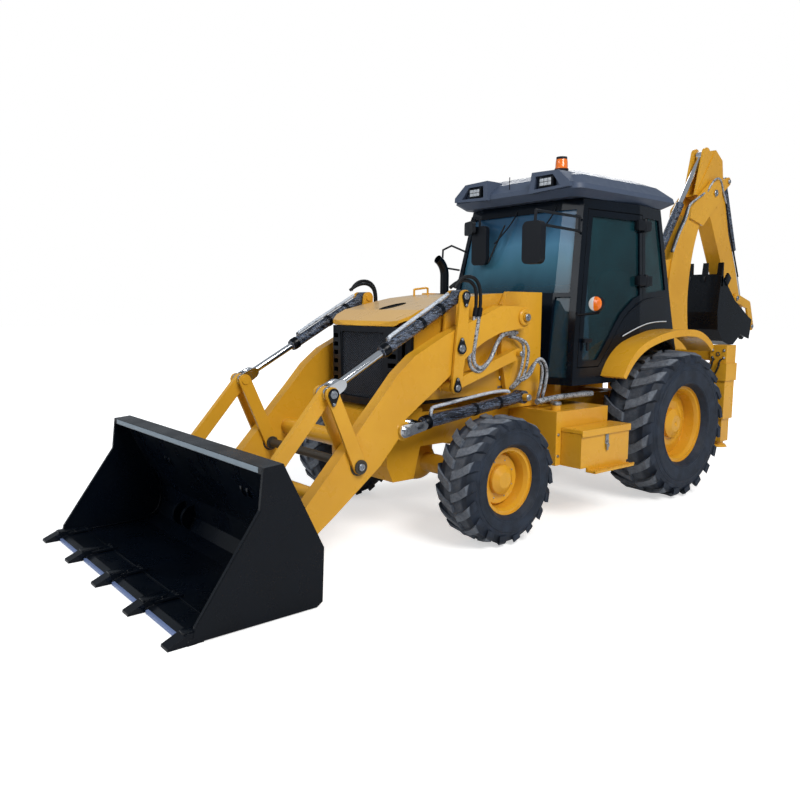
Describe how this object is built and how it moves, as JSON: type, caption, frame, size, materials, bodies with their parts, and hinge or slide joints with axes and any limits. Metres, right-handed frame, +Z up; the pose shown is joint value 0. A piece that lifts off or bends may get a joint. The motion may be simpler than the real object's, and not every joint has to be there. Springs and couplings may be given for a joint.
{
  "type": "backhoe loader",
  "caption": "Wheeled backhoe loader with a front bucket on parallel-lift arms, an enclosed cab and a side-shifting rear digging arm folded upright.",
  "frame": {"origin": "centre of the bounding box's underside, on the ground under the middle of the machine", "axes": "+Z up, -Y towards the front bucket, +X to the machine's left"},
  "size_m": [2.244, 8.007, 3.4619],
  "materials": {
    "yellow_paint": "satin",
    "black_paint": "satin",
    "cab_paint": "gloss",
    "roof_plastic": "matte",
    "tyre_rubber": "matte",
    "rod_chrome": "polished",
    "bare_iron": "rough",
    "cab_glass": "gloss",
    "lamp_plastic": "gloss",
    "seat_vinyl": "matte",
    "trim_plastic": "matte"
  },
  "bodies": {
    "chassis": {"chassis_frame": "yellow_paint", "rear_axle": "yellow_paint", "front_axle": "yellow_paint", "engine_block": "bare_iron", "rear_cowl": "yellow_paint", "exhaust_stack": "black_paint", "cab_frame": "cab_paint", "cab_glass": "cab_glass", "cab_roof": "roof_plastic", "cab_console": "trim_plastic", "lamps": "lamp_plastic", "mirrors": "trim_plastic", "fenders": "yellow_paint", "side_tanks": "yellow_paint"},
    "knuckle_left": {"knuckle_left": "yellow_paint"},
    "knuckle_right": {"knuckle_right": "yellow_paint"},
    "hood": {"hood": "yellow_paint", "front_grille": "trim_plastic"},
    "toolbox_lid": {"toolbox_lid": "yellow_paint"},
    "seat": {"seat": "seat_vinyl"},
    "loader_arms": {"loader_arms": "yellow_paint"},
    "levelling_levers": {"levelling_levers": "yellow_paint"},
    "levelling_links": {"levelling_links": "yellow_paint"},
    "lift_barrels": {"lift_barrels": "black_paint"},
    "lift_rods": {"lift_rods": "rod_chrome"},
    "tilt_barrels": {"tilt_barrels": "black_paint"},
    "tilt_rods": {"tilt_rods": "rod_chrome"},
    "push_links": {"push_links": "yellow_paint"},
    "guide_pins": {"guide_pins": "bare_iron"},
    "guide_levers": {"guide_levers": "yellow_paint"},
    "bucket_pins": {"bucket_pins": "bare_iron"},
    "loader_bucket": {"loader_bucket": "black_paint"},
    "carriage": {"side_shift_carriage": "yellow_paint"},
    "swing_post": {"swing_post": "yellow_paint"},
    "boom": {"boom": "yellow_paint"},
    "boom_cylinder_barrel": {"boom_cylinder_barrel": "black_paint"},
    "boom_cylinder_rod": {"boom_cylinder_rod": "rod_chrome"},
    "dipper": {"dipper": "yellow_paint"},
    "dipper_cylinder_barrel": {"dipper_cylinder_barrel": "black_paint"},
    "dipper_cylinder_rod": {"dipper_cylinder_rod": "rod_chrome"},
    "hoe_bucket": {"hoe_bucket": "black_paint"},
    "hoe_guide_links": {"hoe_guide_links": "yellow_paint"},
    "hoe_push_link": {"hoe_push_link": "yellow_paint"},
    "hoe_bucket_cylinder_barrel": {"hoe_bucket_cylinder_barrel": "black_paint"},
    "hoe_bucket_cylinder_rod": {"hoe_bucket_cylinder_rod": "rod_chrome"},
    "wheel_front_left": {"tyre_front_left": "tyre_rubber", "rim_front_left": "yellow_paint"},
    "wheel_rear_left": {"tyre_rear_left": "tyre_rubber", "rim_rear_left": "yellow_paint"},
    "door_left": {"door_left": "cab_paint", "door_glass_left": "cab_glass"},
    "stabilizer_left": {"stabilizer_left": "yellow_paint"},
    "wheel_front_right": {"tyre_front_right": "tyre_rubber", "rim_front_right": "yellow_paint"},
    "wheel_rear_right": {"tyre_rear_right": "tyre_rubber", "rim_rear_right": "yellow_paint"},
    "door_right": {"door_right": "cab_paint", "door_glass_right": "cab_glass"},
    "stabilizer_right": {"stabilizer_right": "yellow_paint"}
  },
  "joints": [
    {"name": "steer_left", "type": "hinge", "parent": "chassis", "child": "knuckle_left", "pos_m": [0.69, -1.4635, 0.46], "axis": [0, 0, 1], "range_deg": [-30, 30]},
    {"name": "spin_front_left", "type": "hinge", "parent": "knuckle_left", "child": "wheel_front_left", "pos_m": [0.895, -1.4635, 0.46], "axis": [1, 0, 0], "continuous": true},
    {"name": "spin_rear_left", "type": "hinge", "parent": "chassis", "child": "wheel_rear_left", "pos_m": [0.85, 0.7865, 0.655], "axis": [1, 0, 0], "continuous": true},
    {"name": "steer_right", "type": "hinge", "parent": "chassis", "child": "knuckle_right", "pos_m": [-0.69, -1.4635, 0.46], "axis": [0, 0, 1], "range_deg": [-30, 30]},
    {"name": "spin_front_right", "type": "hinge", "parent": "knuckle_right", "child": "wheel_front_right", "pos_m": [-0.895, -1.4635, 0.46], "axis": [1, 0, 0], "continuous": true},
    {"name": "spin_rear_right", "type": "hinge", "parent": "chassis", "child": "wheel_rear_right", "pos_m": [-0.85, 0.7865, 0.655], "axis": [1, 0, 0], "continuous": true},
    {"name": "loader_lift", "type": "hinge", "parent": "chassis", "child": "loader_arms", "pos_m": [0, -0.8885, 1.601], "axis": [-1, 0, 0], "range_deg": [0, 78]},
    {"name": "levelling_lever_turn", "type": "hinge", "parent": "loader_arms", "child": "levelling_levers", "pos_m": [0, -1.5915, 1.381], "axis": [-1, 0, 0], "range_deg": [-80, 2]},
    {"name": "levelling_link_turn", "type": "hinge", "parent": "chassis", "child": "levelling_links", "pos_m": [0, -0.9255, 1.32], "axis": [-1, 0, 0], "range_deg": [-2, 80]},
    {"name": "lift_barrel_turn", "type": "hinge", "parent": "chassis", "child": "lift_barrels", "pos_m": [0, -0.8535, 0.975], "axis": [-1, 0, 0], "range_deg": [-2, 70]},
    {"name": "lift_rod_slide", "type": "slide", "parent": "lift_barrels", "child": "lift_rods", "axis": [0, -0.9935, -0.1137], "range_m": [-0.01, 0.75]},
    {"name": "tilt_barrel_turn", "type": "hinge", "parent": "levelling_levers", "child": "tilt_barrels", "pos_m": [0, -1.5565, 1.752], "axis": [-1, 0, 0], "range_deg": [-2, 75]},
    {"name": "guide_follow", "type": "hinge", "parent": "loader_arms", "child": "guide_pins", "pos_m": [0, -2.4885, 0.635], "axis": [-1, 0, 0], "range_deg": [-58, 2]},
    {"name": "bucket_follow", "type": "hinge", "parent": "loader_arms", "child": "bucket_pins", "pos_m": [0, -2.9835, 0.215], "axis": [-1, 0, 0], "range_deg": [-70, 2]},
    {"name": "bucket_tilt", "type": "hinge", "parent": "bucket_pins", "child": "loader_bucket", "pos_m": [0, -2.9835, 0.215], "axis": [1, 0, 0], "range_deg": [-30, 50]},
    {"name": "guide_lever_turn", "type": "hinge", "parent": "guide_pins", "child": "guide_levers", "pos_m": [0, -2.4885, 0.635], "axis": [-1, 0, 0], "range_deg": [-45, 30]},
    {"name": "tilt_rod_slide", "type": "slide", "parent": "tilt_barrels", "child": "tilt_rods", "axis": [0, -0.8775, -0.4797], "range_m": [-0.24, 0.38]},
    {"name": "push_link_turn", "type": "hinge", "parent": "tilt_rods", "child": "push_links", "pos_m": [0, -2.7035, 1.125], "axis": [-1, 0, 0], "range_deg": [-2, 10]},
    {"name": "hood_open", "type": "hinge", "parent": "chassis", "child": "hood", "pos_m": [0, -0.935, 1.792], "axis": [-1, 0, 0], "range_deg": [0, 60]},
    {"name": "door_open_left", "type": "hinge", "parent": "chassis", "child": "door_left", "pos_m": [0.757, 0.5515, 1.65], "axis": [-0.0547, 0, 0.9985], "range_deg": [0, 85]},
    {"name": "door_open_right", "type": "hinge", "parent": "chassis", "child": "door_right", "pos_m": [-0.757, 0.5515, 1.65], "axis": [-0.0547, 0, -0.9985], "range_deg": [0, 85]},
    {"name": "toolbox_lid_open", "type": "hinge", "parent": "chassis", "child": "toolbox_lid", "pos_m": [0.862, -0.3665, 0.738], "axis": [0, -1, 0], "range_deg": [0, 80]},
    {"name": "seat_swivel", "type": "hinge", "parent": "chassis", "child": "seat", "pos_m": [0, 0.3865, 1.19], "axis": [0, 0, 1], "range_deg": [0, 180]},
    {"name": "stabilizer_drop_left", "type": "slide", "parent": "chassis", "child": "stabilizer_left", "axis": [0, 0, -1], "range_m": [0, 0.34]},
    {"name": "stabilizer_drop_right", "type": "slide", "parent": "chassis", "child": "stabilizer_right", "axis": [0, 0, -1], "range_m": [0, 0.34]},
    {"name": "side_shift", "type": "slide", "parent": "chassis", "child": "carriage", "axis": [1, 0, 0], "range_m": [-0.45, 0.45]},
    {"name": "swing", "type": "hinge", "parent": "carriage", "child": "swing_post", "pos_m": [0, 1.9765, 0.925], "axis": [0, 0, 1], "range_deg": [-80, 80]},
    {"name": "boom_lower", "type": "hinge", "parent": "swing_post", "child": "boom", "pos_m": [0, 2.4765, 1.08], "axis": [-1, 0, 0], "range_deg": [0, 70]},
    {"name": "boom_barrel_turn", "type": "hinge", "parent": "swing_post", "child": "boom_cylinder_barrel", "pos_m": [0, 2.1265, 1.19], "axis": [-1, 0, 0], "range_deg": [-2, 76]},
    {"name": "boom_rod_slide", "type": "slide", "parent": "boom_cylinder_barrel", "child": "boom_cylinder_rod", "axis": [0, -0.2638, 0.9646], "range_m": [-0.01, 0.46]},
    {"name": "dipper_reach", "type": "hinge", "parent": "boom", "child": "dipper", "pos_m": [0, 2.8665, 2.975], "axis": [1, 0, 0], "range_deg": [0, 100]},
    {"name": "dipper_barrel_turn", "type": "hinge", "parent": "boom", "child": "dipper_cylinder_barrel", "pos_m": [0, 1.8865, 2.135], "axis": [1, 0, 0], "range_deg": [-6, 6]},
    {"name": "dipper_rod_slide", "type": "slide", "parent": "dipper_cylinder_barrel", "child": "dipper_cylinder_rod", "axis": [0, 0.561, 0.8278], "range_m": [-0.66, 0.01]},
    {"name": "hoe_bucket_open", "type": "hinge", "parent": "dipper", "child": "hoe_bucket", "pos_m": [0, 3.6565, 1.584], "axis": [1, 0, 0], "range_deg": [0, 110]},
    {"name": "hoe_guide_turn", "type": "hinge", "parent": "dipper", "child": "hoe_guide_links", "pos_m": [0, 3.5365, 1.815], "axis": [1, 0, 0], "range_deg": [-1, 50]},
    {"name": "hoe_barrel_turn", "type": "hinge", "parent": "dipper", "child": "hoe_bucket_cylinder_barrel", "pos_m": [0, 3.2565, 3.15], "axis": [1, 0, 0], "range_deg": [-1, 12]},
    {"name": "hoe_rod_slide", "type": "slide", "parent": "hoe_bucket_cylinder_barrel", "child": "hoe_bucket_cylinder_rod", "axis": [0, 0.3832, -0.9236], "range_m": [-0.35, 0.01]},
    {"name": "hoe_push_turn", "type": "hinge", "parent": "hoe_bucket", "child": "hoe_push_link", "pos_m": [0, 3.6585, 1.374], "axis": [1, 0, 0], "range_deg": [-90, 2]}
  ],
  "couplings": [
    {"joint": "steer_right", "follows": "steer_left", "ratio": 1},
    {"joint": "levelling_lever_turn", "follows": "loader_lift", "ratio": -1},
    {"joint": "levelling_link_turn", "follows": "loader_lift", "ratio": 1},
    {"joint": "lift_barrel_turn", "follows": "loader_lift", "ratio": 0.845},
    {"joint": "lift_rod_slide", "follows": "loader_lift", "m_per_rad": 0.525},
    {"joint": "tilt_barrel_turn", "follows": "loader_lift", "ratio": 0.91},
    {"joint": "guide_follow", "follows": "loader_lift", "ratio": -0.7},
    {"joint": "bucket_follow", "follows": "loader_lift", "ratio": -0.84},
    {"joint": "guide_lever_turn", "follows": "bucket_tilt", "ratio": -0.7},
    {"joint": "tilt_rod_slide", "follows": "bucket_tilt", "m_per_rad": 0.42},
    {"joint": "push_link_turn", "follows": "loader_lift", "ratio": 0.08},
    {"joint": "boom_barrel_turn", "follows": "boom_lower", "ratio": 1},
    {"joint": "boom_rod_slide", "follows": "boom_lower", "m_per_rad": 0.346},
    {"joint": "dipper_barrel_turn", "follows": "dipper_reach", "ratio": -0.02},
    {"joint": "dipper_rod_slide", "follows": "dipper_reach", "m_per_rad": -0.36},
    {"joint": "hoe_guide_turn", "follows": "hoe_bucket_open", "ratio": 0.435},
    {"joint": "hoe_barrel_turn", "follows": "hoe_bucket_open", "ratio": 0.1},
    {"joint": "hoe_rod_slide", "follows": "hoe_bucket_open", "m_per_rad": -0.155},
    {"joint": "hoe_push_turn", "follows": "hoe_bucket_open", "ratio": -0.66}
  ]
}
